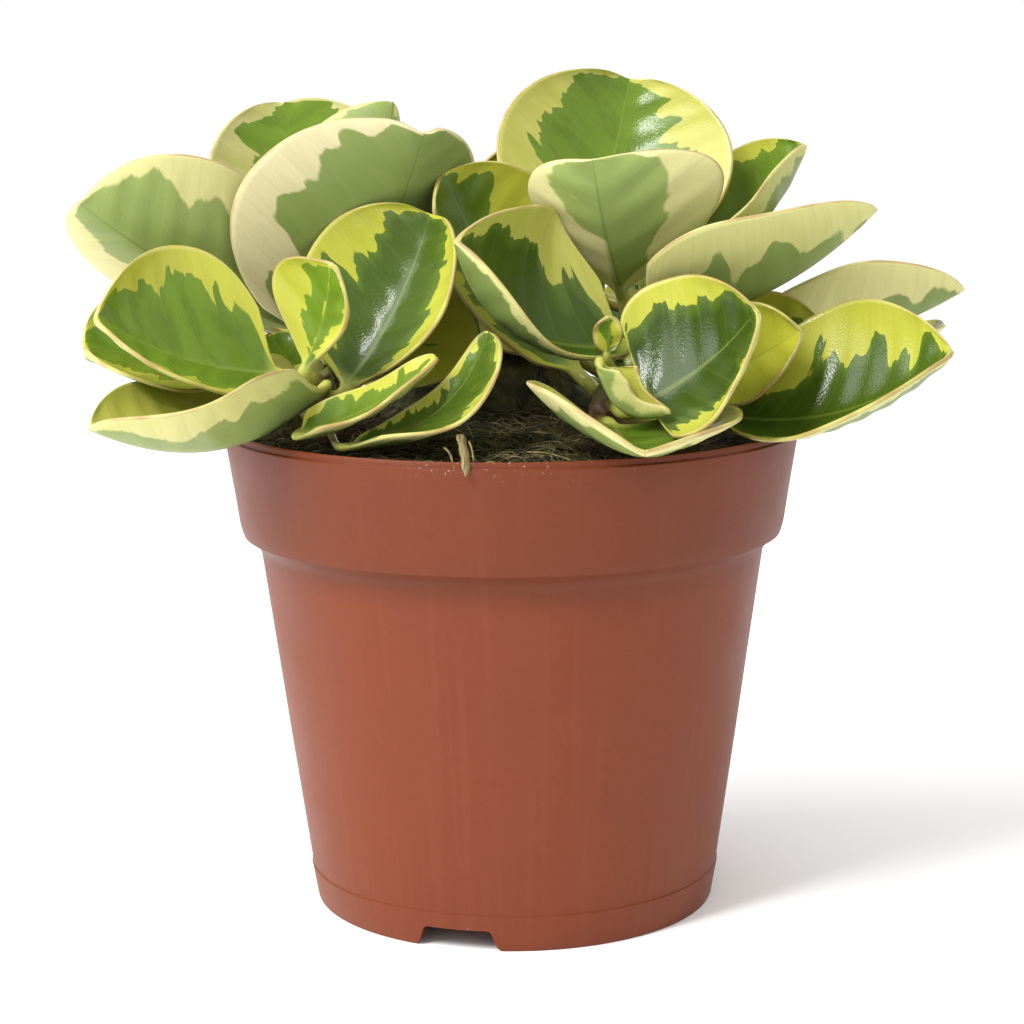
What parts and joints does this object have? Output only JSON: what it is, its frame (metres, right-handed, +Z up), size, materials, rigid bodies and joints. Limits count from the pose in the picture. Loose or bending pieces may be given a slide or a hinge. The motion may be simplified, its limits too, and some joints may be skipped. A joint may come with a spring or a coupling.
{
  "type": "potted peperomia",
  "caption": "Bushy house plant with broad, cupped, green and cream leaves on short stems, in a tapered plastic nursery pot filled with soil.",
  "frame": {"origin": "on the ground at the pot's axis", "axes": "+Z up, -Y towards the front"},
  "size_m": [0.191, 0.1284, 0.1742],
  "materials": {
    "pot": "satin",
    "soil": "matte",
    "stem": "satin",
    "leaf": "satin"
  },
  "bodies": {
    "root": {"pot": "pot", "soil": "soil", "stem_front_left": "stem", "stem_back_left": "stem", "stem_front_right": "stem", "stem_back_right": "stem", "stem_back": "stem", "leaf_back_left_1": "leaf", "leaf_back_left_2": "leaf", "leaf_back_left_3": "leaf", "leaf_back_left_4": "leaf", "leaf_back_left_5": "leaf", "leaf_back_left_6": "leaf", "leaf_back_left_7": "leaf", "leaf_front_left_1": "leaf", "leaf_front_left_2": "leaf", "leaf_front_left_3": "leaf", "leaf_front_left_4": "leaf", "leaf_front_left_5": "leaf", "leaf_front_left_6": "leaf", "leaf_front_left_7": "leaf", "leaf_front_left_8": "leaf", "leaf_front_left_9": "leaf", "leaf_back_right_1": "leaf", "leaf_back_right_2": "leaf", "leaf_back_right_3": "leaf", "leaf_back_right_4": "leaf", "leaf_back_right_5": "leaf", "leaf_back_right_6": "leaf", "leaf_back_right_7": "leaf", "leaf_back_right_8": "leaf", "leaf_front_right_1": "leaf", "leaf_front_right_2": "leaf", "leaf_front_right_3": "leaf", "leaf_front_right_4": "leaf", "leaf_front_right_5": "leaf", "leaf_front_right_6": "leaf", "leaf_front_right_7": "leaf", "leaf_front_right_8": "leaf", "leaf_front_right_9": "leaf", "leaf_back_1": "leaf", "leaf_back_2": "leaf", "leaf_back_3": "leaf", "leaf_back_4": "leaf", "leaf_back_5": "leaf", "leaf_back_6": "leaf"}
  },
  "joints": []
}
